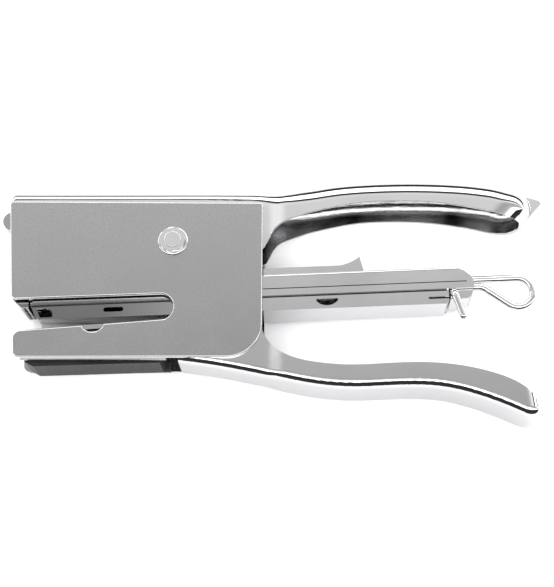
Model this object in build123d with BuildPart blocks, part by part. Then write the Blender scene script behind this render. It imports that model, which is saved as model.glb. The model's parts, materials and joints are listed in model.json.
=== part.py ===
"""Hand-held plier stapler, lying on its side.

The stapler lies with its jaws toward -X, its handles toward +X and its fixed handle toward +Y.  +Z is the
normal of the side plates.  Every side profile is drawn in millimetres from the pivot bolt's centre.
"""
from build123d import *
import os

os.makedirs("parts", exist_ok=True)

# ---- driving dimensions (mm, degrees) --------------------------------------------------------------
PIVOT_X = -32.27
PIVOT_Y = 18.15
PIVOT_Z = 11.05
JAW_SLOPE = 4.4              # the anvil climbs toward the pivot by this angle, and the front edge is square to it
MAGAZINE_TILT = 2.2          # the magazine's own angle at rest
ARM_ANGLE = 9.9              # the drive arm points up from the jaw direction by this angle
REACH = 130.0                # longer than any part, for cuts that run out of the metal

PLATE_INNER = 8.85
PLATE_THICK = 1.2
PLATE_OUTER = PLATE_INNER + PLATE_THICK
SHEET = 1.0                  # sheet of both handles
THIN = 0.6                   # sheet of the magazine
GRIP_HALF = 10.35
LEVER_OUTER = PLATE_INNER - 0.1
JOGGLE = (30.5, 37.5)        # where both handles widen behind the side plates

BOLT_RADIUS = 2.8
HEAD_RADIUS = 5.0
HEAD_THICK = 1.0
WASHER_THICK = 0.6
NUT_FLATS = 8.0
NUT_THICK = 1.3
SLEEVE_OUTER = 3.8
SLEEVE_INNER = 2.83
RUNNING_FIT = 0.06
HUB_RADIUS = 6.0

JAW_DISTANCE = 26.57         # from the pivot, square to the lower jaw's edge
ANVIL_PROUD = 0.4
ANVIL_THICK = 1.5
BRIDGE_SHEET = 1.0
ANVIL_RIVETS = (-38.0, -12.0)

HOUSING_TOP = -11.8
BEAD_TOP = -17.2
BEAD_BOTTOM = -19.4
TRACK_BOTTOM = -24.3
HOUSING_OUTER = 7.05
BEAD_OUTER = 7.55
TRACK_OUTER = 6.9
HOUSING_FRONT = -48.0
HOUSING_REAR = 98.0
TRACK_REAR = 89.6

DRIVER_X = -49.8
DRIVER_THICK = 0.8
DRIVER_HALF = 6.4
DRIVER_TIP = -18.4
NOSE_RADIUS = 3.3
NOSE_REACH = 55.9
NOSE_HALF = 4.0
WINDOW_CLEAR = 0.4

ROD_RADIUS = 1.25
ROD_Y = -14.4
LOOP_RETURN_Y = -16.9
ROD_FRONT = -43.0
LOOP_BEND = 4.9
FOLLOWER_FRONT = -40.0
FOLLOWER_LENGTH = 14.0

NOSE_ROUND = 9.0             # plan rounding of the fixed handle's tip
TAIL_ROUND = 4.5             # plan rounding of the moving handle's tip
BEND = 2.8                   # outer bend radius of both handles
BEND_LOSS = 0.6              # the inner bend is tighter than the outer one by this much
STOP_PIN = (-19.0, 10.1)
ARM_PIN = (-12.0, 1.0)
PIN_RADIUS = 1.5
ARM_OUTER = 6.2
ARM_TOP = 5.0
RIVET_RADIUS = 1.5
RIVET_HEAD = 2.6
PAD_HALF = 6.4
ANVIL_FRONT = -52.0
ANVIL_REAR = -4.0
POCKET_X = -49.9
POCKET_Z = 4.4
POCKET_LENGTH = 3.6
POCKET_WIDTH = 1.6
POCKET_DEPTH = 0.7

RETURN_RADIUS = 5.0
RETURN_WIRE = 0.5
RETURN_TURNS = 5.87          # its last leg leaves level with the drive arm
SPRING_SPAN = 8.0
FRAME_LEG_ANGLE = 135.0
FRAME_LEG = 18.0
ARM_LEG = 15.5
CLAMP_X = 35.0
CLAMP_RADIUS = 4.0
CLAMP_WIRE = 0.45
CLAMP_HEIGHT = 14.0
CLAMP_TURNS = 6
CATCH_HALF = 5.6
CATCH_TOP = -9.3
CATCH_RIVET_X = 15.2
CATCH_RIVET_Z = 3.4
CATCH_RIVET_RADIUS = 1.2
CATCH_RIVET_HEIGHT = 0.7
WINDOW_Y = 10.6
DRIVER_CROWN = 16.2
PLUG_HALF = 6.3
PLUG_FRONT = 90.2
HOOK_X = 91.2
HOOK_Y = -20.9
HOOK_Z = 8.6
FEED_RADIUS = 1.65
FEED_WIRE = 0.2
FEED_TURNS = 40


def side(height=0.0):
    """Plane parallel to the side plates, with its origin on the pivot."""
    return Plane(origin=(PIVOT_X, PIVOT_Y, PIVOT_Z + height))


def turned(angle, height=0.0):
    """The same plane turned about the pivot bolt."""
    return side(height).rotated((0, 0, angle))


def plan(angle=0.0):
    """Plane seen from above the fixed handle: local X along the stapler, local Y across it."""
    level = turned(angle)
    return Plane(origin=level.origin, x_dir=level.x_dir, z_dir=-level.y_dir)


def finish(piece, name):
    """Labels a piece and writes its STEP file."""
    piece.part.label = name
    export_step(piece.part, f"parts/{name}.step")


# ---- side plates -----------------------------------------------------------------------------------
def plate_outline(height):
    """Outline with the paper throat between the upper and the lower jaw."""
    corners = [
        (-54.95, 14.4, 0.8),
        (29.5, 13.4, 0.8),
        (29.6, -39.45, 11.4),
        (-50.75, -39.45, 2.0),
        (-51.5, -30.6, 2.6),
        (0.7, -26.6, 4.2),
        (0.7, -18.0, 4.2),
        (-52.5, -19.8, 1.6),
    ]
    with BuildSketch(side(height)) as outline:
        with BuildLine():
            Polyline(*[(x, y) for x, y, _ in corners], close=True)
        make_face()
        for x, y, radius in corners:
            fillet(outline.vertices().sort_by_distance((x, y))[0], radius)
        with Locations((-25.4, -27.0)):
            Circle(4.0, mode=Mode.SUBTRACT)
        Circle(BOLT_RADIUS + RUNNING_FIT, mode=Mode.SUBTRACT)
    return outline.sketch


def side_plate(inner_height, outward):
    """One plate, its sheared outer edges rounded."""
    with BuildPart() as plate:
        extrude(plate_outline(inner_height), amount=outward * PLATE_THICK)
        outer_face = plate.faces().sort_by(Axis.Z)[-1 if outward > 0 else 0]
        fillet(outer_face.edges(), 0.4)
    return plate


left_side_plate = side_plate(PLATE_INNER, 1)
finish(left_side_plate, "left_side_plate")
right_side_plate = side_plate(-PLATE_INNER, -1)
finish(right_side_plate, "right_side_plate")


# ---- handles ---------------------------------------------------------------------------------------
def widening(front_half, rear_half, inset):
    """Plan outline of a handle: slim between the side plates, wider behind them."""
    start, stop = JOGGLE
    slim = front_half - inset
    wide = rear_half - inset
    with BuildSketch(plan()) as outline:
        with BuildLine():
            for way in (1, -1):
                Line((-REACH, way * slim), (start, way * slim))
                Spline((start, way * slim), (stop, way * wide), tangents=((1, 0), (1, 0)))
                Line((stop, way * wide), (REACH, way * wide))
            Line((-REACH, -slim), (-REACH, slim))
            Line((REACH, -wide), (REACH, wide))
        make_face()
    return outline.sketch


def upper_blank(inset):
    """Solid of the fixed handle, `inset` inside its skin; with an inset it also runs out of the open sides."""
    open_side = 4 * inset
    crown = [(30, 18.25), (36, 18.15), (43, 19.9), (55, 21.9), (75, 22.95), (95, 21.8), (112, 18.8)]
    rim = [(101, 10.4), (88, 13.0), (75, 13.8), (61, 13.2), (50, 11.1), (42, 8.9)]
    crown = [(x, y - inset) for x, y in crown]
    rim = [(x, y - open_side) for x, y in rim]
    tip = (126.4 - 5.0 * inset, 15.0 - 0.2 * inset)
    heel = (115.6 - 1.4 * inset - open_side, 8.0 - 0.4 * inset - open_side)
    with BuildPart() as blank:
        with BuildSketch(side(-GRIP_HALF)):
            with BuildLine():
                front_top = (-55.1 - open_side, 18.75 - inset)
                front_low = (-54.2 - open_side, 7.5 - open_side)
                Line(front_top, crown[0])
                Spline(*crown, tip, tangents=((1, 0), (0.94, -0.34)))
                Line(tip, heel)
                Spline(heel, *rim, (33.6, 5.1 - open_side))
                Polyline((33.6, 5.1 - open_side), (29.6, -2.4 - open_side), (26.0, -3.0 - open_side),
                         (12.0, 7.5 - open_side), front_low, front_top)
            make_face()
        extrude(amount=2 * GRIP_HALF)
        extrude(widening(PLATE_INNER, GRIP_HALF, inset), amount=REACH, both=True, mode=Mode.INTERSECT)
        rear = blank.faces().filter_by(GeomType.PLANE).sort_by(Axis.X)[-1]
        fillet(rear.edges().filter_by(Axis.Z, reverse=True), NOSE_ROUND - inset)
        crown_faces = blank.faces().filter_by(lambda face: face.normal_at().Y > 0.5).sort_by(Axis.Y)[-2:]
        fillet(crown_faces.edges().filter_by(Axis.Z, reverse=True), BEND - BEND_LOSS * inset)
    return blank


def lower_blank(inset):
    """Solid of the moving handle, `inset` inside its skin; with an inset it also runs out of the open sides."""
    open_side = 4 * inset
    web = [(10, -41.5), (22, -43.6), (35, -46.4), (48, -48.9), (60, -49.7), (77, -49.1), (88, -49.8), (99, -52.6)]
    rim = [(112, -48.6), (102, -44.4), (93, -42.4), (84, -41.5), (70, -41.7), (58, -42.2), (47, -41.3), (37.4, -38.7)]
    web = [(x, y + inset) for x, y in web]
    rim = [(x, y + open_side) for x, y in rim]
    front_low = (2.6 - open_side, -40.5 + inset)
    heel = (119.3 - inset, -61.3 + inset)
    end = (118.4 - inset, -55.5 + open_side)
    with BuildPart() as blank:
        with BuildSketch(side(-GRIP_HALF)):
            with BuildLine():
                Spline(front_low, *web, heel, tangents=((1, -0.13), (0.9, -0.43)))
                Line(heel, end)
                Spline(end, *rim, (29.6 + inset, -30.0))
                Polyline((29.6 + inset, -30.0), (29.6 + inset, -12.0 + open_side), (4.0, 4.5 + open_side),
                         (-16.0 - open_side, 4.0 + open_side), (-16.0 - open_side, -3.0),
                         (-4.0 - open_side, -5.0), (1.6 - open_side, -12.0), front_low)
            make_face()
        extrude(amount=2 * GRIP_HALF)
        extrude(widening(LEVER_OUTER, GRIP_HALF, inset), amount=REACH, both=True, mode=Mode.INTERSECT)
        rear = blank.faces().filter_by(lambda face: face.normal_at().X > 0.9).sort_by(Axis.X)[-1]
        fillet(rear.edges().filter_by(Axis.Z, reverse=True), TAIL_ROUND - inset)
        web_faces = blank.faces().filter_by(lambda face: face.normal_at().Y < -0.5).sort_by(Axis.Y)[:1]
        fillet(web_faces.edges().filter_by(Axis.Z, reverse=True), BEND - BEND_LOSS * inset)
    return blank


with BuildPart() as upper_handle:
    add(upper_blank(0).part)
    add(upper_blank(SHEET).part, mode=Mode.SUBTRACT)
    with BuildSketch(side()):
        with Locations(STOP_PIN):
            Circle(PIN_RADIUS)
    extrude(amount=REACH, both=True, mode=Mode.SUBTRACT)
finish(upper_handle, "upper_handle")

with BuildPart() as arm_stop_pin:
    with BuildSketch(side()):
        with Locations(STOP_PIN):
            Circle(PIN_RADIUS)
    extrude(amount=PLATE_INNER, both=True)
finish(arm_stop_pin, "arm_stop_pin")

with BuildPart() as lower_handle:
    add(lower_blank(0).part)
    add(lower_blank(SHEET).part, mode=Mode.SUBTRACT)
    with BuildSketch(side()):
        Circle(SLEEVE_OUTER + RUNNING_FIT)
        with Locations(ARM_PIN):
            Circle(PIN_RADIUS)
    extrude(amount=REACH, both=True, mode=Mode.SUBTRACT)
finish(lower_handle, "lower_handle")

with BuildPart() as arm_pin:
    with BuildSketch(side()):
        with Locations(ARM_PIN):
            Circle(PIN_RADIUS)
    extrude(amount=LEVER_OUTER, both=True)
finish(arm_pin, "arm_pin")


# ---- drive arm: an inverted channel from the pivot to the driver -----------------------------------
with BuildPart() as drive_arm:
    arm_plane = turned(-ARM_ANGLE, -ARM_OUTER)
    with BuildSketch(arm_plane) as arm_side:
        Circle(HUB_RADIUS)
        with BuildLine():
            Polyline((-1.0, 6.0), (-8.0, ARM_TOP), (-32.0, ARM_TOP), (-47.4, NOSE_RADIUS),
                     (-47.4, -NOSE_RADIUS), (-30.0, -NOSE_RADIUS), (-2.0, -5.6), close=True)
        make_face()
    extrude(amount=2 * ARM_OUTER)
    with BuildSketch(arm_plane.offset(SHEET)):
        with BuildLine():
            Polyline((REACH, -REACH), (REACH, REACH), (-12.0, REACH), (-12.0, ARM_TOP - SHEET),
                     (-32.0, ARM_TOP - SHEET), (-46.4, NOSE_RADIUS - SHEET), (-46.4, -REACH), close=True)
        make_face()
    extrude(amount=2 * (ARM_OUTER - SHEET), mode=Mode.SUBTRACT)
    with BuildSketch(turned(-ARM_ANGLE, -NOSE_HALF)):
        with Locations((-(NOSE_REACH + 46.4) / 2, 0)):
            Rectangle(NOSE_REACH - 46.4, 2 * NOSE_RADIUS)
        with Locations((-NOSE_REACH, 0)):
            Circle(NOSE_RADIUS)
    extrude(amount=2 * NOSE_HALF)
    with BuildSketch(turned(-ARM_ANGLE, -ARM_OUTER)):
        with Locations((-CLAMP_X, -NOSE_RADIUS + SHEET / 2)):
            Rectangle(CLAMP_RADIUS * 2 + 4, SHEET)
    extrude(amount=2 * ARM_OUTER)
    with BuildSketch(side()):
        Circle(SLEEVE_OUTER + RUNNING_FIT)
        with Locations(ARM_PIN):
            Circle(PIN_RADIUS)
    extrude(amount=REACH, both=True, mode=Mode.SUBTRACT)
finish(drive_arm, "drive_arm")


# ---- pivot hardware --------------------------------------------------------------------------------
SHANK_END = PLATE_OUTER + WASHER_THICK + NUT_THICK + 0.2
with BuildPart() as pivot_bolt:
    with BuildSketch(side(-PLATE_OUTER - HEAD_THICK)):
        Circle(HEAD_RADIUS)
    extrude(amount=HEAD_THICK)
    fillet(pivot_bolt.edges().group_by(Axis.Z)[0], 0.3)
    with BuildSketch(side(-PLATE_OUTER)):
        Circle(BOLT_RADIUS)
    extrude(amount=SHANK_END + PLATE_OUTER)
    fillet(pivot_bolt.edges().group_by(Axis.Z)[-1], 0.3)
finish(pivot_bolt, "pivot_bolt")

with BuildPart() as pivot_washer:
    with BuildSketch(side(PLATE_OUTER)):
        Circle(HEAD_RADIUS)
        Circle(BOLT_RADIUS + RUNNING_FIT, mode=Mode.SUBTRACT)
    extrude(amount=WASHER_THICK)
    fillet(pivot_washer.edges().group_by(Axis.Z)[-1].sort_by(SortBy.LENGTH)[-1], 0.25)
finish(pivot_washer, "pivot_washer")

with BuildPart() as pivot_nut:
    with BuildSketch(side(PLATE_OUTER + WASHER_THICK)):
        RegularPolygon(NUT_FLATS / 2, 6, major_radius=False, rotation=12)
    extrude(amount=NUT_THICK)
    with BuildSketch(side(PLATE_OUTER + WASHER_THICK)):
        Circle(NUT_FLATS / 2 + 0.25)
    extrude(amount=NUT_THICK, mode=Mode.INTERSECT)
    with BuildSketch(side(PLATE_OUTER)):
        Circle(BOLT_RADIUS)
    extrude(amount=REACH, mode=Mode.SUBTRACT)
finish(pivot_nut, "pivot_nut")

with BuildPart() as pivot_sleeve:
    with BuildSketch(side(-PLATE_INNER)):
        Circle(SLEEVE_OUTER)
        Circle(SLEEVE_INNER, mode=Mode.SUBTRACT)
    extrude(amount=2 * PLATE_INNER)
finish(pivot_sleeve, "pivot_sleeve")


def coil(plane, radius, wire, height, turns):
    """Round-wire helix standing on a plane."""
    helix = plane.location * Helix(pitch=height / turns, height=height, radius=radius)
    with BuildPart() as spring:
        with BuildSketch(Plane(origin=helix @ 0, z_dir=helix % 0)):
            Circle(wire)
        sweep(path=helix, is_frenet=True)
    return spring


def rod_between(start, stop, radius):
    """Straight round bar from one point to another."""
    with BuildPart() as bar:
        with BuildLine():
            axis = Line(start, stop)
        with BuildSketch(Plane(origin=axis @ 0, z_dir=axis % 0)):
            Circle(radius)
        extrude(amount=axis.length)
    return bar


# ---- handle return spring: a torsion coil round the sleeve -----------------------------------------
# One leg presses the fixed handle's web, the other lies under the drive arm's web.
return_helix = turned(FRAME_LEG_ANGLE, -SPRING_SPAN / 2).location * Helix(
    pitch=SPRING_SPAN / RETURN_TURNS, height=SPRING_SPAN, radius=RETURN_RADIUS)
with BuildPart() as return_spring:
    with BuildSketch(Plane(origin=return_helix @ 0, z_dir=return_helix % 0)) as frame_end:
        Circle(RETURN_WIRE)
    sweep(path=return_helix, is_frenet=True)
    extrude(frame_end.sketch, amount=-FRAME_LEG)
    with BuildSketch(Plane(origin=return_helix @ 1, z_dir=return_helix % 1)):
        Circle(RETURN_WIRE)
    extrude(amount=ARM_LEG)
finish(return_spring, "return_spring")


# ---- lower jaw: bridge, anvil, rivets and base pad -------------------------------------------------
def anvil_side(height=0.0):
    """Plane parallel to the side plates whose local X runs along the anvil."""
    return turned(JAW_SLOPE, height)


ANVIL_TOP = -JAW_DISTANCE + ANVIL_PROUD
BRIDGE_TOP = ANVIL_TOP - ANVIL_THICK

with BuildPart() as anvil_bridge:
    with BuildSketch(side(-PLATE_INNER)):
        with BuildLine():
            Polyline((-48.6, -32.3), (-48.6, -40.0), (-1.2, -40.0), (-1.2, -28.6), close=True)
        make_face()
    extrude(amount=2 * PLATE_INNER)
    with BuildSketch(anvil_side(-PLATE_INNER)):
        with Locations((-28.0, BRIDGE_TOP / 2)):
            Rectangle(REACH, -BRIDGE_TOP)
    extrude(amount=2 * PLATE_INNER, mode=Mode.SUBTRACT)
    with BuildSketch(anvil_side(-PLATE_INNER + BRIDGE_SHEET)):
        with Locations((-28.0, BRIDGE_TOP - BRIDGE_SHEET - REACH / 2)):
            Rectangle(REACH, REACH)
    extrude(amount=2 * (PLATE_INNER - BRIDGE_SHEET), mode=Mode.SUBTRACT)
    with BuildSketch(Plane(origin=anvil_side().origin, x_dir=anvil_side().x_dir, z_dir=anvil_side().y_dir)):
        with Locations(*[(x, 0) for x in ANVIL_RIVETS]):
            Circle(RIVET_RADIUS)
    extrude(amount=REACH, both=True, mode=Mode.SUBTRACT)
finish(anvil_bridge, "anvil_bridge")

anvil_top_plane = Plane(origin=anvil_side().from_local_coords(Vector(0, ANVIL_TOP, 0)),
                        x_dir=anvil_side().x_dir, z_dir=anvil_side().y_dir)
with BuildPart() as anvil_plate:
    with BuildSketch(anvil_top_plane):
        with Locations(((ANVIL_FRONT + ANVIL_REAR) / 2, 0)):
            RectangleRounded(ANVIL_REAR - ANVIL_FRONT, 2 * (PLATE_INNER - 0.1), 1.2)
    extrude(amount=-ANVIL_THICK)
    with BuildSketch(anvil_top_plane):
        with Locations(*[(POCKET_X, way * POCKET_Z) for way in (1, -1)]):
            SlotOverall(POCKET_LENGTH, POCKET_WIDTH, rotation=90)
    extrude(amount=-POCKET_DEPTH, mode=Mode.SUBTRACT)
    with BuildSketch(anvil_top_plane):
        with Locations(*[(x, 0) for x in ANVIL_RIVETS]):
            Circle(RIVET_RADIUS)
    extrude(amount=-REACH, mode=Mode.SUBTRACT)
finish(anvil_plate, "anvil_plate")

with BuildPart() as anvil_rivets:
    with BuildSketch(anvil_top_plane):
        with Locations(*[(x, 0) for x in ANVIL_RIVETS]):
            Circle(RIVET_RADIUS)
    extrude(amount=-(ANVIL_THICK + BRIDGE_SHEET))
    with BuildSketch(anvil_top_plane.offset(-(ANVIL_THICK + BRIDGE_SHEET))):
        with Locations(*[(x, 0) for x in ANVIL_RIVETS]):
            Circle(RIVET_HEAD)
    extrude(amount=-0.8)
finish(anvil_rivets, "anvil_rivets")

with BuildPart() as jaw_base_pad:
    with BuildSketch(side(-PAD_HALF)):
        with BuildLine():
            Polyline((-48.0, -36.0), (-47.6, -40.0), (-44.8, -41.6), (-3.6, -40.4), (-2.0, -36.0), close=True)
        make_face()
    extrude(amount=2 * PAD_HALF)
    fillet(jaw_base_pad.edges().filter_by(GeomType.LINE).group_by(Axis.Y)[0], 0.5)
finish(jaw_base_pad, "jaw_base_pad")


# ---- magazine: housing, track, nose block and catch ------------------------------------------------
def magazine_side(height=0.0):
    """Plane parallel to the side plates whose local X runs along the magazine."""
    return turned(MAGAZINE_TILT, height)


def magazine_slab(points, half):
    """Closed outline in the magazine's plane, as thick as twice `half`."""
    with BuildPart() as slab:
        with BuildSketch(magazine_side(-half)):
            with BuildLine():
                Polyline(*points, close=True)
            make_face()
        extrude(amount=2 * half)
    return slab.part


with BuildPart() as magazine_housing:
    add(magazine_slab([(HOUSING_FRONT, HOUSING_TOP), (HOUSING_REAR - 6.5, HOUSING_TOP), (HOUSING_REAR - 3, -13.2),
                       (HOUSING_REAR - 0.6, -15.4), (HOUSING_REAR, BEAD_TOP - 0.1), (HOUSING_FRONT, BEAD_TOP - 0.1)],
                      HOUSING_OUTER))
    fillet(magazine_housing.edges().filter_by(lambda edge: edge.center().Z > PIVOT_Z + HOUSING_OUTER - 0.1
           or edge.center().Z < PIVOT_Z - HOUSING_OUTER + 0.1).filter_by(
           lambda edge: magazine_side().to_local_coords(edge.center()).Y > HOUSING_TOP - 0.1), 0.9)
    with BuildSketch(magazine_side(-HOUSING_OUTER)):
        Circle(HUB_RADIUS)
        with Locations((0, HOUSING_TOP / 2)):
            Rectangle(2 * HUB_RADIUS, -HOUSING_TOP + 2)
    extrude(amount=2 * HOUSING_OUTER)
    with BuildSketch(magazine_side(-BEAD_OUTER)):
        with Locations(((HOUSING_FRONT + HOUSING_REAR) / 2 + 0.7, (BEAD_TOP + BEAD_BOTTOM) / 2)):
            RectangleRounded(HOUSING_REAR - HOUSING_FRONT - 1.4, BEAD_TOP - BEAD_BOTTOM, 0.6)
    extrude(amount=2 * BEAD_OUTER)
    add(magazine_slab([(-REACH, BEAD_TOP - 0.2), (-REACH, -REACH), (REACH, -REACH), (REACH, BEAD_TOP - 0.2)],
                      BEAD_OUTER - THIN), mode=Mode.SUBTRACT)
    add(magazine_slab([(-REACH, HOUSING_TOP - THIN), (-REACH, -REACH), (REACH, -REACH),
                       (REACH, HOUSING_TOP - THIN)], HOUSING_OUTER - THIN), mode=Mode.SUBTRACT)
    with BuildSketch(magazine_side()):
        with Locations((0, HOUSING_TOP / 2 + 4)):
            Rectangle(4 * HUB_RADIUS, -HOUSING_TOP + 8)
    extrude(amount=HOUSING_OUTER - THIN, both=True, mode=Mode.SUBTRACT)
    with BuildSketch(magazine_side()):
        Circle(SLEEVE_OUTER + RUNNING_FIT)
    extrude(amount=REACH, both=True, mode=Mode.SUBTRACT)
finish(magazine_housing, "magazine_housing")

with BuildPart() as magazine_track:
    add(magazine_slab([(-47.6, BEAD_TOP - 0.3), (TRACK_REAR, BEAD_TOP - 0.3), (TRACK_REAR, TRACK_BOTTOM + 1.0),
                       (TRACK_REAR - 1.0, TRACK_BOTTOM), (-44.6, TRACK_BOTTOM), (-45.9, TRACK_BOTTOM + 1.2),
                       (-47.3, BEAD_BOTTOM)], TRACK_OUTER))
    add(magazine_slab([(-REACH, 0), (-REACH, TRACK_BOTTOM + THIN), (REACH, TRACK_BOTTOM + THIN), (REACH, 0)],
                      TRACK_OUTER - THIN), mode=Mode.SUBTRACT)
    with BuildSketch(magazine_side()):
        with BuildLine():
            Line((-45.4, -20.6), (-44.2, -23.6))
            Line((-44.2, -23.6), (-40.2, -23.6))
            ThreePointArc((-40.2, -23.6), (-40.6, -21.4), (-42.4, -20.6))
            Line((-42.4, -20.6), (-45.4, -20.6))
        make_face()
        with Locations((-20.1, -21.75)):
            SlotOverall(6.6, 1.55)
        with Locations((49.9, -21.35)):
            Rectangle(7.0, 0.7)
        with BuildLine():
            Line((46.4, -21.7), (53.4, -21.7))
            ThreePointArc((53.4, -21.7), (49.9, -23.3), (46.4, -21.7))
        make_face()
        with Locations((TRACK_REAR - 3.2, -22.2)):
            Rectangle(6.8, 0.7)
    extrude(amount=REACH, both=True, mode=Mode.SUBTRACT)
finish(magazine_track, "magazine_track")

with BuildPart() as nose_block:
    add(magazine_slab([(-53.3, HOUSING_TOP), (HOUSING_FRONT, HOUSING_TOP), (HOUSING_FRONT, -20.0), (-50.4, -20.0),
                       (-53.3, -17.0)], HOUSING_OUTER))
    fillet(nose_block.edges().filter_by(Axis.Z).group_by(Axis.Y)[-1], 0.5)
    with BuildSketch(magazine_side()):
        with Locations((DRIVER_X, -16)):
            Rectangle(DRIVER_THICK + 0.3, REACH)
        with Locations((HOUSING_FRONT - 1, -16)):
            Rectangle(3.0, REACH)
    extrude(amount=DRIVER_HALF + 0.12, both=True, mode=Mode.SUBTRACT)
finish(nose_block, "nose_block")

with BuildPart() as sheet_catch:
    with BuildSketch(magazine_side(-CATCH_HALF)):
        with BuildLine():
            Line((13.0, HOUSING_TOP), (13.0, HOUSING_TOP + THIN))
            Line((13.0, HOUSING_TOP + THIN), (17.0, HOUSING_TOP + THIN))
            Line((17.0, HOUSING_TOP + THIN), (20.0, CATCH_TOP))
            Line((20.0, CATCH_TOP), (54.5, CATCH_TOP))
            ThreePointArc((54.5, CATCH_TOP), (57.6, -8.5), (61.2, -6.4))
            Line((61.2, -6.4), (62.3, -11.0))
            Line((62.3, -11.0), (62.3, HOUSING_TOP))
            Line((62.3, HOUSING_TOP), (13.0, HOUSING_TOP))
        make_face()
    extrude(amount=2 * CATCH_HALF)
    with BuildSketch(magazine_side(-CATCH_HALF + THIN)):
        with BuildLine():
            Line((20.3, HOUSING_TOP - 1), (20.3, CATCH_TOP - THIN))
            Line((20.3, CATCH_TOP - THIN), (54.5, CATCH_TOP - THIN))
            ThreePointArc((54.5, CATCH_TOP - THIN), (57.4, -9.2), (60.6, -7.4))
            Line((60.6, -7.4), (61.7, -11.0))
            Line((61.7, -11.0), (61.7, HOUSING_TOP - 1))
            Line((61.7, HOUSING_TOP - 1), (20.3, HOUSING_TOP - 1))
        make_face()
    extrude(amount=2 * (CATCH_HALF - THIN), mode=Mode.SUBTRACT)
finish(sheet_catch, "sheet_catch")

with BuildPart() as catch_rivets:
    for height in (CATCH_RIVET_Z, -CATCH_RIVET_Z):
        level = magazine_side(height)
        foot = level.from_local_coords(Vector(CATCH_RIVET_X, HOUSING_TOP + THIN, 0))
        head = level.from_local_coords(Vector(CATCH_RIVET_X, HOUSING_TOP + THIN + CATCH_RIVET_HEIGHT, 0))
        add(rod_between(foot, head, CATCH_RIVET_RADIUS).part)
finish(catch_rivets, "catch_rivets")

with BuildPart() as clamp_spring:
    seat = Plane(origin=magazine_side().from_local_coords(Vector(-CLAMP_X, HOUSING_TOP + CLAMP_WIRE + 0.02, 0)),
                 x_dir=magazine_side().x_dir, z_dir=magazine_side().y_dir)
    add(coil(seat, CLAMP_RADIUS - CLAMP_WIRE, CLAMP_WIRE, CLAMP_HEIGHT, CLAMP_TURNS).part)
finish(clamp_spring, "clamp_spring")


# ---- driver ----------------------------------------------------------------------------------------
driver_front = Plane(origin=magazine_side().from_local_coords(Vector(DRIVER_X, 0, 0)),
                     x_dir=(0, 0, 1), z_dir=-magazine_side().x_dir)
with BuildPart() as driver_blade:
    with BuildSketch(driver_front):
        with BuildLine():
            Polyline((-DRIVER_HALF, DRIVER_TIP), (DRIVER_HALF, DRIVER_TIP), (DRIVER_HALF, DRIVER_CROWN),
                     (-DRIVER_HALF, DRIVER_CROWN), close=True)
        make_face()
        with Locations((0, WINDOW_Y)):
            RectangleRounded(2 * (NOSE_HALF + 0.3), 2 * (NOSE_RADIUS + WINDOW_CLEAR), 0.8, mode=Mode.SUBTRACT)
    extrude(amount=DRIVER_THICK / 2, both=True)
    fillet(driver_blade.edges().filter_by(lambda edge: abs(edge.length - DRIVER_THICK) < 0.01)
           .sort_by(Axis.Y)[-2:], 1.2)
finish(driver_blade, "driver_blade")


# ---- feed rod, plug, follower and feed spring ------------------------------------------------------
def rod_section(path):
    """Round section of the feed rod at the start of a path."""
    with BuildSketch(Plane(origin=path @ 0, z_dir=path % 0)) as section:
        Circle(ROD_RADIUS)
    return section.sketch


with BuildPart() as feed_rod:
    with BuildLine(magazine_side()) as loop_path:
        FilletPolyline((ROD_FRONT, ROD_Y), (118.0, ROD_Y), (117.7, -29.2), (101.6, LOOP_RETURN_Y),
                       (HOUSING_REAR - 3.4, LOOP_RETURN_Y), radius=LOOP_BEND)
    sweep(rod_section(loop_path.wire()), path=loop_path.wire())
    down_start = magazine_side().from_local_coords(Vector(HOUSING_REAR - 3.4, LOOP_RETURN_Y, 0))
    with BuildLine() as hook_path:
        FilletPolyline(down_start,
                       magazine_side().from_local_coords(Vector(HOOK_X, HOOK_Y, 0)),
                       magazine_side(HOOK_Z).from_local_coords(Vector(HOOK_X, HOOK_Y, 0)),
                       magazine_side(HOOK_Z).from_local_coords(Vector(HOOK_X + 2.4, HOOK_Y - 8.2, 0)),
                       radius=1.5)
    sweep(rod_section(hook_path.wire()), path=hook_path.wire())
    with Locations(down_start, magazine_side(HOOK_Z).from_local_coords(Vector(HOOK_X + 2.4, HOOK_Y - 8.2, 0))):
        Sphere(ROD_RADIUS)
finish(feed_rod, "feed_rod")

with BuildPart() as rod_end_plug:
    with BuildSketch(magazine_side(-PLUG_HALF)) as plug_side:
        with BuildLine():
            Polyline((PLUG_FRONT, HOUSING_TOP - THIN - 0.1), (HOUSING_REAR - 5.0, HOUSING_TOP - THIN - 0.1),
                     (HOUSING_REAR - 2.6, -14.2), (HOUSING_REAR - 0.7, -16.4), (HOUSING_REAR - 0.3, -22.6),
                     (PLUG_FRONT, -22.6), close=True)
        make_face()
        fillet(plug_side.vertices().sort_by_distance((HOUSING_REAR - 0.3, -22.6))[0], 2.6)
    extrude(amount=2 * PLUG_HALF)
    add(feed_rod.part, mode=Mode.SUBTRACT)
finish(rod_end_plug, "rod_end_plug")

with BuildPart() as follower:
    add(magazine_slab([(FOLLOWER_FRONT, -12.6), (FOLLOWER_FRONT + FOLLOWER_LENGTH, -12.6),
                       (FOLLOWER_FRONT + FOLLOWER_LENGTH, -19.0), (FOLLOWER_FRONT + 3.0, -23.4),
                       (FOLLOWER_FRONT, -23.4)], 5.9))
    add(magazine_slab([(FOLLOWER_FRONT + 2, -16.2), (REACH, -16.2), (REACH, -REACH), (FOLLOWER_FRONT + 2, -REACH)],
                      5.1), mode=Mode.SUBTRACT)
    with BuildSketch(Plane(origin=magazine_side().from_local_coords(Vector(0, ROD_Y, 0)),
                           x_dir=(0, 0, 1), z_dir=-magazine_side().x_dir)):
        Circle(ROD_RADIUS + RUNNING_FIT)
    extrude(amount=REACH, mode=Mode.SUBTRACT)
finish(follower, "follower")

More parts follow.
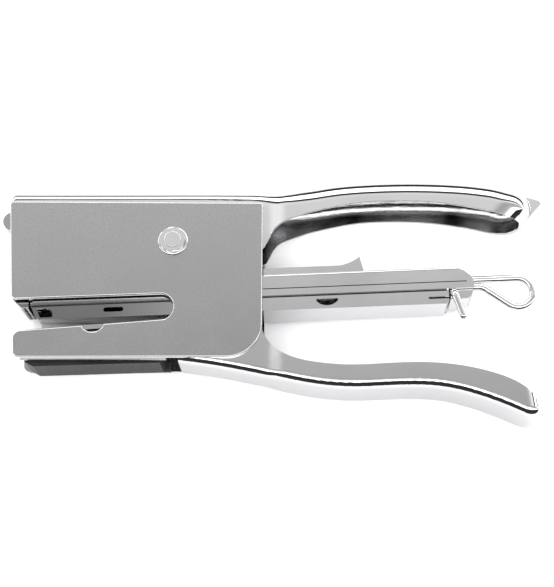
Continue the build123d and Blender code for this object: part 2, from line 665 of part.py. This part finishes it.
with BuildPart() as feed_spring:
    spring_front = FOLLOWER_FRONT + FOLLOWER_LENGTH + FEED_WIRE + 0.1
    seat = Plane(origin=magazine_side().from_local_coords(Vector(spring_front, ROD_Y, 0)),
                 x_dir=(0, 0, 1), z_dir=magazine_side().x_dir)
    add(coil(seat, FEED_RADIUS, FEED_WIRE, PLUG_FRONT - spring_front - FEED_WIRE - 0.1, FEED_TURNS).part)
finish(feed_spring, "feed_spring")
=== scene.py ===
"""Plier stapler: materials, pressed handle, turned pivot pieces, painted shadow lines on the magazine,
studio and camera.
"""
import json
import math

import bmesh
import bpy
import numpy as np
from mathutils import Matrix, Vector


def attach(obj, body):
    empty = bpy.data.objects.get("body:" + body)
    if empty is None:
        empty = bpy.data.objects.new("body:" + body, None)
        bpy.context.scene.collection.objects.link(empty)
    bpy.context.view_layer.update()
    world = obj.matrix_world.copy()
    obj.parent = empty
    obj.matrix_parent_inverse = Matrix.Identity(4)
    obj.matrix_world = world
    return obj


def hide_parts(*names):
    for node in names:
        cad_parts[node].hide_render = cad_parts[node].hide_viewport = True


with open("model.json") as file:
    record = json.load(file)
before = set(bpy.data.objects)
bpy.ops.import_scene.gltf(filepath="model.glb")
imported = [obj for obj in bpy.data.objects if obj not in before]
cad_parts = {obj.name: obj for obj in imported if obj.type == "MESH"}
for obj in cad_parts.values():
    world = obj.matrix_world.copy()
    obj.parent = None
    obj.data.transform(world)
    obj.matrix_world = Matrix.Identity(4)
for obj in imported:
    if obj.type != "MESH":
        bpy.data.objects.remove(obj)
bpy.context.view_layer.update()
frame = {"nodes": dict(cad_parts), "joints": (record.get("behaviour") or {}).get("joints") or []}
nodes = frame["nodes"]


# ---- materials: noise scales are in features per metre along X, Y and Z ----------------------------
ALONG = (25.0, 1600.0, 1600.0)
EVEN = (1400.0, 1400.0, 1400.0)
HANDLE_INSIDE_GRAIN = (220.0, 900.0, 900.0)
METAL_CLOUDS = (45.0, 45.0, 45.0)
METAL_WAVES = (70.0, 110.0, 110.0)
PLASTIC_CLOUDS = (60.0, 60.0, 60.0)
PLASTIC_GRAIN = (1800.0, 1800.0, 1800.0)
CLOUD_RANGE = (0.35, 0.65)
GRAIN_RANGE = (0.3, 0.7)
FLANK_UPRIGHT, BENT_UPRIGHT = 0.995, 0.93    # squared Z of the normal on a flat flank and on its bends
JAW_SHADE_SPAN = (-0.055, 0.0)                     # X in metres over which the magazine's painted shade, darker toward the jaws between the side plates, fades out
MAGAZINE_JAW_SHADE = 0.4
PLASTIC_SPECULAR = 0.3
PLASTIC_ROUGHNESS_SWING = 0.06


class Surface:
    """A Principled material with helpers for its procedural inputs."""

    def __init__(self, name, metallic, roughness):
        self.material = bpy.data.materials.new(name)
        self.material.use_nodes = True
        tree = self.material.node_tree
        tree.nodes.clear()
        self.make, self.link = tree.nodes.new, tree.links.new
        self.shader = self.make("ShaderNodeBsdfPrincipled")
        self.shader.inputs["Metallic"].default_value = metallic
        self.shader.inputs["Roughness"].default_value = roughness
        output = self.make("ShaderNodeOutputMaterial")
        self.link(self.shader.outputs["BSDF"], output.inputs["Surface"])
        self.place = self.make("ShaderNodeTexCoord").outputs["Object"]

    def noise(self, per_metre, detail=2.0, roughness=0.5):
        """Noise with its own number of features per metre along X, Y and Z."""
        mapping = self.make("ShaderNodeMapping")
        mapping.inputs["Scale"].default_value = per_metre
        self.link(self.place, mapping.inputs["Vector"])
        noise = self.make("ShaderNodeTexNoise")
        noise.inputs["Scale"].default_value = 1.0
        noise.inputs["Detail"].default_value = detail
        noise.inputs["Roughness"].default_value = roughness
        self.link(mapping.outputs["Vector"], noise.inputs["Vector"])
        return noise.outputs["Fac"]

    def spread(self, value, low_in, high_in, low_out, high_out):
        """Maps one range of a value to another, clamped at both ends."""
        node = self.make("ShaderNodeMapRange")
        sockets = ("From Min", "From Max", "To Min", "To Max")
        for socket, number in zip(sockets, (low_in, high_in, low_out, high_out)):
            node.inputs[socket].default_value = number
        self.link(value, node.inputs["Value"])
        return node.outputs["Result"]

    def math(self, operation, first, second):
        node = self.make("ShaderNodeMath")
        node.operation = operation
        for socket, value in zip(node.inputs, (first, second)):
            if isinstance(value, (int, float)):
                socket.default_value = value
            else:
                self.link(value, socket)
        return node.outputs["Value"]

    def blend(self, factor, low, high):
        """Colour between two colours or colour outputs."""
        node = self.make("ShaderNodeMix")
        node.data_type = "RGBA"
        self.link(factor, node.inputs[0])
        for socket, value in ((node.inputs[6], low), (node.inputs[7], high)):
            if isinstance(value, tuple):
                socket.default_value = (*value, 1.0)
            else:
                self.link(value, socket)
        return node.outputs[2]

    def split(self, vector):
        """The X, Y and Z outputs of a vector."""
        node = self.make("ShaderNodeSeparateXYZ")
        self.link(vector, node.inputs["Vector"])
        return node.outputs

    def off_flank(self):
        """0 on faces square to Z, and 1 on the edges and bends that leave them."""
        upright = self.split(self.make("ShaderNodeNewGeometry").outputs["Normal"])["Z"]
        squared = self.math("MULTIPLY", upright, upright)
        return self.spread(squared, FLANK_UPRIGHT, BENT_UPRIGHT, 0.0, 1.0)

    def bump(self, height, distance, normal=None):
        node = self.make("ShaderNodeBump")
        node.inputs["Distance"].default_value = distance
        self.link(height, node.inputs["Height"])
        if normal is not None:
            self.link(normal, node.inputs["Normal"])
        return node.outputs["Normal"]

    def finish(self, colour=None, roughness=None, normal=None):
        for socket, value in (("Base Color", colour), ("Roughness", roughness), ("Normal", normal)):
            if value is not None:
                self.link(value, self.shader.inputs[socket])
        return self.material


def metal(name, dark, light, edge_highlight, roughness, edge_roughness, grain, grain_height,
          wave_height=0.0, jaw_painted_shade=1.0):
    """Sheet or bar metal: clouded colour, directional grain, a painted highlight of lighter colour on
    edges and bends, and smoother edges.

    A value below 1 paints shade into the colour toward the jaws, where the part sits between the side
    plates.
    """
    surface = Surface(name, 1.0, roughness)
    clouds = surface.noise(METAL_CLOUDS, 3.0)
    streaks = surface.noise(grain, 3.0, 0.6)
    edge_highlight_and_gloss_mask = surface.off_flank()
    face = surface.blend(surface.spread(clouds, *CLOUD_RANGE, 0.0, 1.0), dark, light)
    # Painted shade: the colour darkens toward the jaws, between the side plates.
    if jaw_painted_shade < 1.0:
        shade_fade = surface.spread(surface.split(surface.place)["X"], *JAW_SHADE_SPAN, 0.0, 1.0)
        face = surface.blend(shade_fade, tuple(jaw_painted_shade * value for value in dark), face)
    # Painted highlight: edges and bends get a lighter colour than the flat faces.
    colour = surface.blend(edge_highlight_and_gloss_mask, face, edge_highlight)
    worn = surface.math("ADD", surface.spread(streaks, *GRAIN_RANGE, roughness * 0.8, roughness * 1.2),
                        surface.spread(clouds, *GRAIN_RANGE, -0.1 * roughness, 0.1 * roughness))
    smooth_edge = surface.math("MULTIPLY", edge_highlight_and_gloss_mask, edge_roughness - roughness)
    normal = surface.bump(streaks, grain_height)
    if wave_height:
        normal = surface.bump(surface.noise(METAL_WAVES, 1.0), wave_height, normal)
    return surface.finish(colour, surface.math("ADD", worn, smooth_edge), normal)


def plastic(name, dark, light, roughness, grain_height):
    """Moulded plastic with clouded colour and a fine grain."""
    surface = Surface(name, 0.0, roughness)
    clouds = surface.noise(PLASTIC_CLOUDS, 3.0)
    grain = surface.noise(PLASTIC_GRAIN, 2.0)
    surface.shader.inputs["Specular IOR Level"].default_value = PLASTIC_SPECULAR
    colour = surface.blend(surface.spread(clouds, *CLOUD_RANGE, 0.0, 1.0), dark, light)
    swing = PLASTIC_ROUGHNESS_SWING
    rough = surface.spread(grain, *GRAIN_RANGE, roughness - swing, roughness + swing)
    return surface.finish(colour, rough, surface.bump(grain, grain_height))


def grey(value):
    """A neutral steel grey, a touch cooler than even."""
    return (value, value, value * 1.01)


# The third grey of each metal is its painted edge highlight colour.
LOOKS = {
    "satin_plate": metal("satin_plate", grey(0.50), grey(0.52), grey(0.97), 0.24, 0.10, EVEN, 0.0000004),
    "mirror_handle": metal("mirror_handle", grey(0.70), grey(0.74), grey(0.86), 0.06, 0.05, ALONG,
                           0.0000008, 0.00003),
    # Painted shade inside the handle: near black, mottled with patches of painted reflection.
    "handle_inside_painted_shade": metal("handle_inside_painted_shade", grey(0.03), grey(0.55), grey(0.60), 0.22, 0.15,
                           HANDLE_INSIDE_GRAIN, 0.00006),
    "bright_magazine": metal("bright_magazine", grey(0.66), grey(0.72), grey(0.95), 0.15, 0.08, ALONG,
                             0.000001, 0.00001, MAGAZINE_JAW_SHADE),
    "turned_steel": metal("turned_steel", grey(0.74), grey(0.80), grey(0.95), 0.16, 0.08, EVEN, 0.000001),
    "bolt_end": metal("bolt_end", grey(0.80), grey(0.90), grey(0.95), 0.30, 0.20, EVEN, 0.000002),
    "plain_sheet": metal("plain_sheet", grey(0.45), grey(0.55), grey(0.80), 0.32, 0.20, ALONG, 0.000006),
    "spring_wire": metal("spring_wire", grey(0.42), grey(0.50), grey(0.60), 0.25, 0.20, EVEN, 0.000002),
    "polished_wire": metal("polished_wire", grey(0.80), grey(0.86), grey(0.92), 0.07, 0.07, EVEN,
                           0.000001, 0.00001),
    "black_plastic": plastic("black_plastic", grey(0.010), grey(0.016), 0.42, 0.00002),
    # Painted shadow: near-black strips where the magazine housing meets the track.
    "painted_seam_shadow": metal("painted_seam_shadow", grey(0.03), grey(0.06), grey(0.10), 0.45, 0.40, ALONG, 0.000004),
    "grey_plastic": plastic("grey_plastic", grey(0.05), grey(0.07), 0.5, 0.00002),
}
WORN_BY = {
    "satin_plate": ("left_side_plate", "right_side_plate"),
    "mirror_handle": ("upper_handle", "lower_handle"),
    "bright_magazine": ("magazine_housing", "magazine_track", "nose_block", "sheet_catch", "rod_end_plug"),
    "turned_steel": ("pivot_bolt", "pivot_washer", "pivot_nut", "pivot_sleeve", "arm_stop_pin", "arm_pin",
                     "anvil_rivets", "catch_rivets"),
    "plain_sheet": ("drive_arm", "anvil_bridge", "anvil_plate", "driver_blade"),
    "spring_wire": ("return_spring", "clamp_spring", "feed_spring"),
    "polished_wire": ("feed_rod",),
    "black_plastic": ("jaw_base_pad",),
    "grey_plastic": ("follower",),
}
for look, members in WORN_BY.items():
    for member in members:
        mesh = nodes[member].data
        mesh.materials.clear()
        mesh.materials.append(LOOKS[look])


# ---- fixed handle: one smooth pressed shell in place of the CAD sheet, in mm from the pivot ---------
PIVOT = Vector(next(joint["pos_m"] for joint in frame["joints"] if joint["name"] == "lever_swing"))
MM = 0.001
HANDLE_TOP = (
    (-54.8, 18.7), (-20.0, 18.5), (10.0, 18.35), (30.0, 18.2), (36.0, 18.3), (43.0, 19.9), (55.0, 21.9),
    (75.0, 22.9), (95.0, 22.2), (107.0, 20.6), (115.0, 18.9), (120.0, 17.6), (122.2, 16.8), (122.7, 15.9),
)
HANDLE_RIM = (
    (-54.2, 7.6), (11.0, 7.6), (24.0, -2.4), (29.4, -2.3), (33.8, 5.1), (42.0, 8.9), (50.0, 11.1),
    (61.0, 13.2), (75.0, 13.8), (88.0, 13.0), (101.0, 10.8), (110.0, 8.6), (115.3, 7.6),
)
HANDLE_TIP = HANDLE_TOP[-1]
SHELL_SHEET = 0.9
SLIM_HALF, WIDE_HALF = 8.75, 10.3
SLIM_END, WIDE_START = 30.5, 38.0
SHOULDER_BEND, CROWN_BEND, NOSE_BEND = 3.6, 6.8, 9.0
CROWN_START, CROWN_RUN = 24.0, 24.0          # X where the bend starts growing, and over what length
TIP_BEND_START, TIP_BEND_RUN = 104.0, 16.0
SHELL_START, TURN_START, NOSE_START = -54.6, 95.0, 111.0
BODY_STATIONS, TURN_STATIONS, NOSE_STATIONS = 130, 19, 25
POINTS_PER_SPAN, TOP_LINE_POINTS = 40, 600
ACROSS, CROWN_STRIPS = 26, 6
OPEN_RING_POINTS = 2 * (ACROSS + 1) + CROWN_STRIPS - 1
SHELL_WELD, LATHE_WELD = 0.00002, 0.000001   # metres


def smooth_curve(points, first, last, count):
    """Points on a centripetal curve through the given ones, evenly spaced in X from first to last."""
    knots = [np.array(point) for point in points]
    knots = [2 * knots[0] - knots[1], *knots, 2 * knots[-1] - knots[-2]]
    dense = []
    for p0, p1, p2, p3 in zip(knots, knots[1:], knots[2:], knots[3:]):
        t1 = np.linalg.norm(p1 - p0) ** 0.5
        t2 = t1 + np.linalg.norm(p2 - p1) ** 0.5
        t3 = t2 + np.linalg.norm(p3 - p2) ** 0.5
        for t in np.linspace(t1, t2, POINTS_PER_SPAN, endpoint=False):
            a1 = p0 * (t1 - t) / t1 + p1 * t / t1
            a2 = p1 * (t2 - t) / (t2 - t1) + p2 * (t - t1) / (t2 - t1)
            a3 = p2 * (t3 - t) / (t3 - t2) + p3 * (t - t2) / (t3 - t2)
            b1 = a1 * (t2 - t) / t2 + a2 * t / t2
            b2 = a2 * (t3 - t) / (t3 - t1) + a3 * (t - t1) / (t3 - t1)
            dense.append(b1 * (t2 - t) / (t2 - t1) + b2 * (t - t1) / (t2 - t1))
    dense = np.array([*dense, knots[-2]])
    wanted = np.linspace(first, last, count)
    return np.column_stack((wanted, np.interp(wanted, dense[:, 0], dense[:, 1])))


def ease(value):
    """Smooth step from 0 to 1."""
    value = min(1.0, max(0.0, value))
    return value * value * (3.0 - 2.0 * value)


def handle_half_width(point, top_line, nose_foot):
    """Half thickness of the pressed handle at a point of its side view."""
    wide = ease((point[0] - SLIM_END) / (WIDE_START - SLIM_END))
    half = SLIM_HALF + (WIDE_HALF - SLIM_HALF) * wide
    bend = SHOULDER_BEND + (CROWN_BEND - SHOULDER_BEND) * ease((point[0] - CROWN_START) / CROWN_RUN)
    bend += (NOSE_BEND - CROWN_BEND) * ease((point[0] - TIP_BEND_START) / TIP_BEND_RUN)
    to_top = np.min(np.hypot(top_line[:, 0] - point[0], top_line[:, 1] - point[1]))
    along = np.array(HANDLE_TIP) - nose_foot
    along = along / np.linalg.norm(along)
    to_nose = (point[1] - nose_foot[1]) * along[0] - (point[0] - nose_foot[0]) * along[1]
    near_top = max(0.0, 1.0 - to_top / bend)
    near_nose = max(0.0, 1.0 - max(0.0, to_nose) / NOSE_BEND)
    both = near_top ** 2 + near_nose ** 2
    if both == 0.0:
        return half
    radius = (near_top ** 2 * bend + near_nose ** 2 * NOSE_BEND) / both
    return half - radius * (1.0 - math.sqrt(max(0.0, 1.0 - both)))


def handle_stations():
    """Pairs of points on the crown and on the rim or the nose, and whether the pair closes the nose."""
    foot = np.array(HANDLE_RIM[-1])
    body_top = smooth_curve(HANDLE_TOP, SHELL_START, TURN_START, BODY_STATIONS)
    body_rim = smooth_curve(HANDLE_RIM, SHELL_START, TURN_START, BODY_STATIONS)
    turn_top = smooth_curve(HANDLE_TOP, TURN_START, NOSE_START, TURN_STATIONS)[1:]
    turn_rim = smooth_curve(HANDLE_RIM, TURN_START, foot[0], TURN_STATIONS)[1:]
    nose_top = smooth_curve(HANDLE_TOP, NOSE_START, HANDLE_TIP[0], NOSE_STATIONS)[1:]
    shares = np.linspace(0.0, 1.0, NOSE_STATIONS)[1:]
    nose_foot = [foot + (np.array(HANDLE_TIP) - foot) * share for share in shares]
    top = [*body_top, *turn_top, *nose_top]
    low = [*body_rim, *turn_rim, *nose_foot]
    closed = [False] * (len(body_top) + len(turn_top) - 1) + [True] * (len(nose_top) + 1)
    return top, low, closed


def make_handle_shell():
    """Lofted sheet with its inside painted dark as shade, open along the rim and closed at the nose."""
    top, low, closed = handle_stations()
    top_line = smooth_curve(HANDLE_TOP, HANDLE_TOP[0][0], HANDLE_TIP[0], TOP_LINE_POINTS)
    foot = np.array(HANDLE_RIM[-1])
    shell = bmesh.new()
    rings = []
    shares = [(1.0 - math.cos(math.pi * step / ACROSS)) / 2.0 for step in range(ACROSS + 1)]
    for upper, lower, closes in zip(top, low, closed):
        outline = [(upper + (lower - upper) * share) for share in shares]
        halves = [handle_half_width(point, top_line, foot) for point in outline]
        ring = []
        for point, half in reversed(list(zip(outline, halves))):
            ring.append((point[0], point[1], -half))
        for strip in range(1, CROWN_STRIPS):
            ring.append((upper[0], upper[1], -halves[0] + 2.0 * halves[0] * strip / CROWN_STRIPS))
        for point, half in zip(outline, halves):
            ring.append((point[0], point[1], half))
        if closes:
            for strip in range(1, CROWN_STRIPS):
                ring.append((lower[0], lower[1], halves[-1] - 2.0 * halves[-1] * strip / CROWN_STRIPS))
        rings.append([shell.verts.new(PIVOT + Vector(point) * MM) for point in ring])
    for ring, following in zip(rings, rings[1:]):
        count = min(len(ring), len(following))
        for index in range(count - 1):
            shell.faces.new((ring[index], ring[index + 1], following[index + 1], following[index]))
        if len(ring) == len(following) and len(ring) > OPEN_RING_POINTS:
            shell.faces.new((ring[-1], ring[0], following[0], following[-1]))
    bmesh.ops.remove_doubles(shell, verts=shell.verts, dist=SHELL_WELD)
    bmesh.ops.recalc_face_normals(shell, faces=shell.faces)
    mesh = bpy.data.meshes.new("pressed_handle")
    shell.to_mesh(mesh)
    shell.free()
    mesh.polygons.foreach_set("use_smooth", [True] * len(mesh.polygons))
    handle = bpy.data.objects.new("pressed_handle", mesh)
    bpy.context.scene.collection.objects.link(handle)
    sheet = handle.modifiers.new("sheet", "SOLIDIFY")
    sheet.thickness = SHELL_SHEET * MM
    sheet.offset = -1.0
    sheet.material_offset = 1
    mesh.materials.append(LOOKS["mirror_handle"])
    mesh.materials.append(LOOKS["handle_inside_painted_shade"])
    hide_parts("upper_handle")
    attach(handle, "frame")


make_handle_shell()


# ---- pivot washer and bolt end with rolled edges: (radius, height) in mm from the pivot's middle ----
def lathe(name, profile, sides, replaced, look):
    """Turned piece round the pivot, in place of a CAD node where one is named."""
    turned = bmesh.new()
    turns = [math.tau * step / sides for step in range(sides)]
    rings = []
    for radius, height in profile:
        points = [Vector((radius * math.cos(turn), radius * math.sin(turn), height)) for turn in turns]
        rings.append([turned.verts.new(PIVOT + point * MM) for point in points])
    for ring, following in zip(rings, rings[1:]):
        for step in range(sides):
            turned.faces.new((ring[step], ring[step - 1], following[step - 1], following[step]))
    bmesh.ops.remove_doubles(turned, verts=turned.verts, dist=LATHE_WELD)
    bmesh.ops.recalc_face_normals(turned, faces=turned.faces)
    mesh = bpy.data.meshes.new(name)
    turned.to_mesh(mesh)
    turned.free()
    mesh.polygons.foreach_set("use_smooth", [True] * len(mesh.polygons))
    mesh.materials.append(LOOKS[look])
    piece = bpy.data.objects.new(name, mesh)
    bpy.context.scene.collection.objects.link(piece)
    if replaced:
        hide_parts(replaced)
    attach(piece, "frame")


WASHER_BORE, WASHER_RADIUS = 2.9, 5.0
WASHER_FOOT, WASHER_TOP = 10.05, 10.65
WASHER_OUTLINE = (
    (WASHER_BORE, WASHER_FOOT), (WASHER_RADIUS, WASHER_FOOT), (WASHER_RADIUS, 10.2), (4.96, 10.36),
    (4.85, 10.5), (4.66, 10.6), (4.4, WASHER_TOP), (4.2, 10.62), (4.0, 10.52), (3.0, 10.5),
    (WASHER_BORE, 10.4), (WASHER_BORE, WASHER_FOOT),
)
DOME_RADIUS, DOME_FOOT, DOME_TOP = 2.62, 11.4, 12.14
DOME_OUTLINE = (
    (0.0, DOME_TOP), (0.9, 12.12), (1.6, 12.06), (2.1, 11.94), (2.45, 11.78), (DOME_RADIUS, 11.6),
    (DOME_RADIUS, DOME_FOOT), (0.0, DOME_FOOT),
)
WASHER_SIDES, DOME_SIDES = 72, 48
lathe("rolled_washer", WASHER_OUTLINE, WASHER_SIDES, "pivot_washer", "turned_steel")
lathe("bolt_dome", DOME_OUTLINE, DOME_SIDES, None, "bolt_end")


# ---- painted shadow lines on the magazine: dark strips where the folded housing meets the track -----
MAGAZINE_TILT = math.radians(2.2)
SHADOW_LINE_DEPTH = 0.3
# Front X, rear X, top Y, foot Y and outer Z of each painted shadow strip, in mm from the pivot, along the
# magazine.
SHADOW_LINE_RUNS = {
    "shadow_line_under_bead": (-47.0, 89.0, -19.45, -19.95, 6.97),
    "shadow_line_over_bead": (-47.4, 95.6, -16.75, -17.1, 7.12),
}
STRIP_FACES = ((0, 3, 2, 1), (4, 5, 6, 7), (0, 1, 5, 4), (1, 2, 6, 5), (2, 3, 7, 6), (3, 0, 4, 7))


def make_shadow_lines():
    """Thin dark strips along both flanks of the magazine, painted shadow lines."""
    turn = Matrix.Rotation(MAGAZINE_TILT, 3, "Z")
    for name, (front, rear, top, foot, level) in SHADOW_LINE_RUNS.items():
        for flank, way in (("near", 1.0), ("far", -1.0)):
            outline = ((front, foot), (rear, foot), (rear, top), (front, top))
            corners = [(x, y, way * z) for z in (level - SHADOW_LINE_DEPTH, level) for x, y in outline]
            mesh = bpy.data.meshes.new(f"{name}_{flank}")
            mesh.from_pydata([PIVOT + turn @ Vector(corner) * MM for corner in corners], [], STRIP_FACES)
            if way < 0:
                mesh.flip_normals()
            strip = bpy.data.objects.new(mesh.name, mesh)
            bpy.context.scene.collection.objects.link(strip)
            mesh.materials.append(LOOKS["painted_seam_shadow"])
            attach(strip, "magazine")


make_shadow_lines()


# ---- studio ----------------------------------------------------------------------------------------
FLOOR_DROP = 0.0003
FLOOR_HALF = 3.0
FLOOR_CLOUDS = (8.0, 8.0, 8.0)
FLOOR_TONES = (0.93, 0.95)
FLOOR_ROUGHNESS = 0.9
FLOOR_IN_METAL = 0.58        # the polished faces mirror a darker floor than the camera sees: a painted reflection


def make_floor():
    """Large pale sheet of paper just under the object."""
    mesh = bpy.data.meshes.new("studio_floor")
    half = FLOOR_HALF
    outline = ((-half, -half), (half, -half), (half, half), (-half, half))
    mesh.from_pydata([(x, y, -FLOOR_DROP) for x, y in outline], [], [(0, 1, 2, 3)])
    floor = bpy.data.objects.new("studio_floor", mesh)
    bpy.context.scene.collection.objects.link(floor)
    surface = Surface("floor_paper", 0.0, FLOOR_ROUGHNESS)
    tone = surface.spread(surface.noise(FLOOR_CLOUDS), *GRAIN_RANGE, 0.0, 1.0)
    paper = surface.blend(tone, grey(FLOOR_TONES[0]), grey(FLOOR_TONES[1]))
    # Painted reflection: the floor turns darker only where the metal mirrors it.
    in_metal = surface.make("ShaderNodeLightPath").outputs["Is Glossy Ray"]
    mesh.materials.append(surface.finish(surface.blend(in_metal, paper, grey(FLOOR_IN_METAL))))


SKY_STRENGTH = 2.5
# Brightness of the studio by the angle in degrees from straight up toward +Y: long softboxes along X.
SKY = (
    (-180, 0.60), (-96, 0.60), (-91, 0.04), (-36, 0.03), (-32, 2.20), (-16, 2.20), (-8, 0.70), (0, 0.46),
    (12, 0.48), (17, 0.62), (23, 0.95), (29, 1.00), (32, 0.04), (41, 0.04), (44, 2.60), (68, 2.60),
    (72, 0.04),
    (91, 0.04), (96, 0.60), (180, 0.60),
)
BACKDROP = 0.95
HALF_TURN = 180.0
LAMP_PLACE, LAMP_SIZE, LAMP_POWER = (0.0, -0.2, 1.4), 2.2, 42.0
LENS, SENSOR_WIDTH = 85.0, 36.0
CAMERA_PLACE = (0.01699, -0.13761, 0.44928)
CAMERA_RIGHT = Vector((0.99945, 0.00676, -0.03247))
CAMERA_UP = Vector((0.00349, 0.95216, 0.30558))


def make_sky():
    """World that the metal mirrors as softboxes and the camera sees as a plain backdrop."""
    world = bpy.data.worlds.new("studio")
    bpy.context.scene.world = world
    world.use_nodes = True
    tree = world.node_tree
    tree.nodes.clear()
    make, link = tree.nodes.new, tree.links.new
    split = make("ShaderNodeSeparateXYZ")
    link(make("ShaderNodeTexCoord").outputs["Generated"], split.inputs["Vector"])
    angle = make("ShaderNodeMath")
    angle.operation = "ARCTAN2"
    link(split.outputs["Y"], angle.inputs[0])
    link(split.outputs["Z"], angle.inputs[1])
    share = make("ShaderNodeMapRange")
    share.inputs["From Min"].default_value = -math.pi
    share.inputs["From Max"].default_value = math.pi
    link(angle.outputs["Value"], share.inputs["Value"])
    ramp = make("ShaderNodeValToRGB")
    ramp.color_ramp.interpolation = "LINEAR"
    stops = ramp.color_ramp.elements
    while len(stops) < len(SKY):
        stops.new(1.0)
    for stop, (degrees, value) in zip(stops, SKY):
        stop.position = (degrees + HALF_TURN) / (2.0 * HALF_TURN)
        level = value / SKY_STRENGTH
        stop.color = (level, level, level, 1.0)
    link(share.outputs["Result"], ramp.inputs["Fac"])
    studio = make("ShaderNodeBackground")
    studio.inputs["Strength"].default_value = SKY_STRENGTH
    link(ramp.outputs["Color"], studio.inputs["Color"])
    plain = make("ShaderNodeBackground")
    plain.inputs["Color"].default_value = (BACKDROP, BACKDROP, BACKDROP, 1.0)
    choice = make("ShaderNodeMixShader")
    link(make("ShaderNodeLightPath").outputs["Is Camera Ray"], choice.inputs["Fac"])
    link(studio.outputs["Background"], choice.inputs[1])
    link(plain.outputs["Background"], choice.inputs[2])
    output = make("ShaderNodeOutputWorld")
    link(choice.outputs["Shader"], output.inputs["Surface"])


def make_soft_light(name, place, size, power):
    """Large lamp that lights the floor and the plastics, and doesn't show in the polished metal."""
    data = bpy.data.lights.new(name, "AREA")
    data.shape = "SQUARE"
    data.size = size
    data.energy = power
    lamp = bpy.data.objects.new(name, data)
    lamp.location = place
    lamp.rotation_mode = "QUATERNION"
    lamp.rotation_quaternion = Vector(place).to_track_quat("Z", "Y")
    lamp.visible_glossy = False
    lamp.visible_camera = False
    bpy.context.scene.collection.objects.link(lamp)


def make_camera():
    """Camera at the photograph's viewing angle, steeply above the tool."""
    data = bpy.data.cameras.new("camera")
    data.lens = LENS
    data.sensor_width = SENSOR_WIDTH
    camera = bpy.data.objects.new("camera", data)
    backward = CAMERA_RIGHT.cross(CAMERA_UP)
    turn = Matrix((CAMERA_RIGHT, CAMERA_UP, backward)).transposed().to_4x4()
    camera.matrix_world = Matrix.Translation(CAMERA_PLACE) @ turn
    bpy.context.scene.collection.objects.link(camera)
    bpy.context.scene.camera = camera


make_floor()
make_sky()
make_soft_light("overhead_light", LAMP_PLACE, LAMP_SIZE, LAMP_POWER)
make_camera()
bpy.context.scene.view_settings.view_transform = "Standard"
